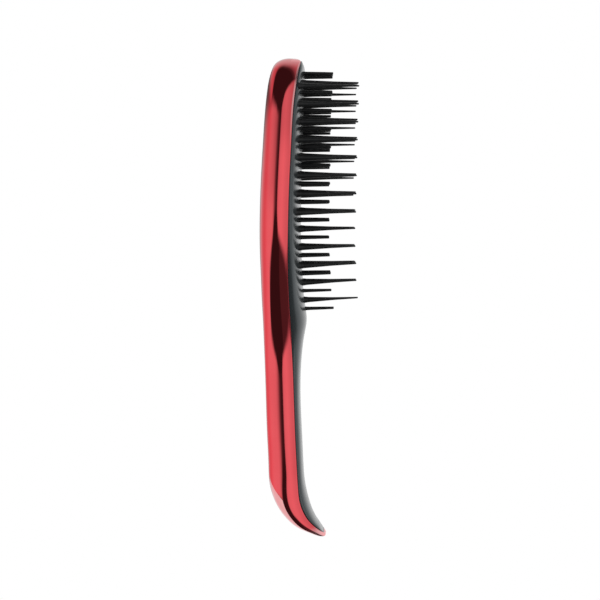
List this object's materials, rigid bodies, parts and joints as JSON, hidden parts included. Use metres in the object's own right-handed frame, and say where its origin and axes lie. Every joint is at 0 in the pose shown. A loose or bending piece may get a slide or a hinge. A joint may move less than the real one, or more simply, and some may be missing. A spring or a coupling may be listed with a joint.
{
  "type": "detangling brush",
  "caption": "Handled detangling hair brush: glossy metallic red back shell, dark grey satin front with thumb crest, and rows of long and short tapered teeth that bend as hair is drawn through.",
  "frame": {"origin": "Centre of the grip, on the mid-plane of the brush.", "axes": "+Z runs along the handle towards the top of the head, +X is the way the teeth point, +Y runs across the head; the brush mirrors in Y."},
  "size_m": [0.0461, 0.066, 0.2247],
  "materials": {
    "shell": "metallised red gloss",
    "front": "satin",
    "long_teeth": "satin",
    "short_teeth": "satin"
  },
  "bodies": {
    "brush_body": {"back_shell": "shell", "front_moulding": "front"},
    "long_row_01": {"long_row_01": "long_teeth"},
    "long_row_02": {"long_row_02": "long_teeth"},
    "long_row_03": {"long_row_03": "long_teeth"},
    "long_row_04": {"long_row_04": "long_teeth"},
    "long_row_05": {"long_row_05": "long_teeth"},
    "long_row_06": {"long_row_06": "long_teeth"},
    "long_row_07": {"long_row_07": "long_teeth"},
    "long_row_08": {"long_row_08": "long_teeth"},
    "long_row_09": {"long_row_09": "long_teeth"},
    "long_row_10": {"long_row_10": "long_teeth"},
    "long_row_11": {"long_row_11": "long_teeth"},
    "long_row_12": {"long_row_12": "long_teeth"},
    "long_row_13": {"long_row_13": "long_teeth"},
    "short_row_01": {"short_row_01": "short_teeth"},
    "short_row_02": {"short_row_02": "short_teeth"},
    "short_row_03": {"short_row_03": "short_teeth"},
    "short_row_04": {"short_row_04": "short_teeth"},
    "short_row_05": {"short_row_05": "short_teeth"},
    "short_row_06": {"short_row_06": "short_teeth"},
    "short_row_07": {"short_row_07": "short_teeth"},
    "short_row_08": {"short_row_08": "short_teeth"},
    "short_row_09": {"short_row_09": "short_teeth"},
    "short_row_10": {"short_row_10": "short_teeth"},
    "short_row_11": {"short_row_11": "short_teeth"},
    "short_row_12": {"short_row_12": "short_teeth"},
    "short_row_13": {"short_row_13": "short_teeth"},
    "short_row_14": {"short_row_14": "short_teeth"}
  },
  "joints": [
    {"name": "long_row_01_bend", "type": "hinge", "parent": "brush_body", "child": "long_row_01", "pos_m": [0.0113, 0, 0.15859], "axis": [0, 1, 0], "range_deg": [-15, 15], "stiffness_Nm_per_rad": 0.081},
    {"name": "long_row_02_bend", "type": "hinge", "parent": "brush_body", "child": "long_row_02", "pos_m": [0.01128, 0, 0.15035], "axis": [0, 1, 0], "range_deg": [-15, 15], "stiffness_Nm_per_rad": 0.081},
    {"name": "long_row_03_bend", "type": "hinge", "parent": "brush_body", "child": "long_row_03", "pos_m": [0.01107, 0, 0.14212], "axis": [0, 1, 0], "range_deg": [-15, 15], "stiffness_Nm_per_rad": 0.081},
    {"name": "long_row_04_bend", "type": "hinge", "parent": "brush_body", "child": "long_row_04", "pos_m": [0.0109, 0, 0.13389], "axis": [0, 1, 0], "range_deg": [-15, 15], "stiffness_Nm_per_rad": 0.081},
    {"name": "long_row_05_bend", "type": "hinge", "parent": "brush_body", "child": "long_row_05", "pos_m": [0.01068, 0, 0.12565], "axis": [0, 1, 0], "range_deg": [-15, 15], "stiffness_Nm_per_rad": 0.081},
    {"name": "long_row_06_bend", "type": "hinge", "parent": "brush_body", "child": "long_row_06", "pos_m": [0.01046, 0, 0.11742], "axis": [0, 1, 0], "range_deg": [-15, 15], "stiffness_Nm_per_rad": 0.081},
    {"name": "long_row_07_bend", "type": "hinge", "parent": "brush_body", "child": "long_row_07", "pos_m": [0.01026, 0, 0.10919], "axis": [0, 1, 0], "range_deg": [-15, 15], "stiffness_Nm_per_rad": 0.081},
    {"name": "long_row_08_bend", "type": "hinge", "parent": "brush_body", "child": "long_row_08", "pos_m": [0.01007, 0, 0.10095], "axis": [0, 1, 0], "range_deg": [-15, 15], "stiffness_Nm_per_rad": 0.081},
    {"name": "long_row_09_bend", "type": "hinge", "parent": "brush_body", "child": "long_row_09", "pos_m": [0.01058, 0, 0.09272], "axis": [0, 1, 0], "range_deg": [-15, 15], "stiffness_Nm_per_rad": 0.054},
    {"name": "long_row_10_bend", "type": "hinge", "parent": "brush_body", "child": "long_row_10", "pos_m": [0.01064, 0, 0.08431], "axis": [0, 1, 0], "range_deg": [-15, 15], "stiffness_Nm_per_rad": 0.054},
    {"name": "long_row_11_bend", "type": "hinge", "parent": "brush_body", "child": "long_row_11", "pos_m": [0.01092, 0, 0.0759], "axis": [0, 1, 0], "range_deg": [-15, 15], "stiffness_Nm_per_rad": 0.054},
    {"name": "long_row_12_bend", "type": "hinge", "parent": "brush_body", "child": "long_row_12", "pos_m": [0.01173, 0, 0.06749], "axis": [0, 1, 0], "range_deg": [-15, 15], "stiffness_Nm_per_rad": 0.027},
    {"name": "long_row_13_bend", "type": "hinge", "parent": "brush_body", "child": "long_row_13", "pos_m": [0.01252, 0, 0.05908], "axis": [0, 1, 0], "range_deg": [-15, 15], "stiffness_Nm_per_rad": 0.0135},
    {"name": "short_row_01_bend", "type": "hinge", "parent": "brush_body", "child": "short_row_01", "pos_m": [0.01255, 0, 0.16421], "axis": [0, 1, 0], "range_deg": [-15, 15], "stiffness_Nm_per_rad": 0.024},
    {"name": "short_row_02_bend", "type": "hinge", "parent": "brush_body", "child": "short_row_02", "pos_m": [0.01178, 0, 0.15526], "axis": [0, 1, 0], "range_deg": [-15, 15], "stiffness_Nm_per_rad": 0.04},
    {"name": "short_row_03_bend", "type": "hinge", "parent": "brush_body", "child": "short_row_03", "pos_m": [0.01154, 0, 0.14694], "axis": [0, 1, 0], "range_deg": [-15, 15], "stiffness_Nm_per_rad": 0.04},
    {"name": "short_row_04_bend", "type": "hinge", "parent": "brush_body", "child": "short_row_04", "pos_m": [0.01133, 0, 0.13862], "axis": [0, 1, 0], "range_deg": [-15, 15], "stiffness_Nm_per_rad": 0.04},
    {"name": "short_row_05_bend", "type": "hinge", "parent": "brush_body", "child": "short_row_05", "pos_m": [0.01114, 0, 0.1303], "axis": [0, 1, 0], "range_deg": [-15, 15], "stiffness_Nm_per_rad": 0.04},
    {"name": "short_row_06_bend", "type": "hinge", "parent": "brush_body", "child": "short_row_06", "pos_m": [0.01093, 0, 0.12198], "axis": [0, 1, 0], "range_deg": [-15, 15], "stiffness_Nm_per_rad": 0.04},
    {"name": "short_row_07_bend", "type": "hinge", "parent": "brush_body", "child": "short_row_07", "pos_m": [0.01072, 0, 0.11366], "axis": [0, 1, 0], "range_deg": [-15, 15], "stiffness_Nm_per_rad": 0.04},
    {"name": "short_row_08_bend", "type": "hinge", "parent": "brush_body", "child": "short_row_08", "pos_m": [0.01055, 0, 0.10534], "axis": [0, 1, 0], "range_deg": [-15, 15], "stiffness_Nm_per_rad": 0.04},
    {"name": "short_row_09_bend", "type": "hinge", "parent": "brush_body", "child": "short_row_09", "pos_m": [0.0104, 0, 0.09702], "axis": [0, 1, 0], "range_deg": [-15, 15], "stiffness_Nm_per_rad": 0.04},
    {"name": "short_row_10_bend", "type": "hinge", "parent": "brush_body", "child": "short_row_10", "pos_m": [0.01078, 0, 0.08861], "axis": [0, 1, 0], "range_deg": [-15, 15], "stiffness_Nm_per_rad": 0.024},
    {"name": "short_row_11_bend", "type": "hinge", "parent": "brush_body", "child": "short_row_11", "pos_m": [0.01102, 0, 0.0802], "axis": [0, 1, 0], "range_deg": [-15, 15], "stiffness_Nm_per_rad": 0.024},
    {"name": "short_row_12_bend", "type": "hinge", "parent": "brush_body", "child": "short_row_12", "pos_m": [0.01142, 0, 0.07179], "axis": [0, 1, 0], "range_deg": [-15, 15], "stiffness_Nm_per_rad": 0.024},
    {"name": "short_row_13_bend", "type": "hinge", "parent": "brush_body", "child": "short_row_13", "pos_m": [0.01208, 0, 0.06338], "axis": [0, 1, 0], "range_deg": [-15, 15], "stiffness_Nm_per_rad": 0.008},
    {"name": "short_row_14_bend", "type": "hinge", "parent": "brush_body", "child": "short_row_14", "pos_m": [0.01316, 0, 0.05497], "axis": [0, 1, 0], "range_deg": [-15, 15], "stiffness_Nm_per_rad": 0.008}
  ]
}
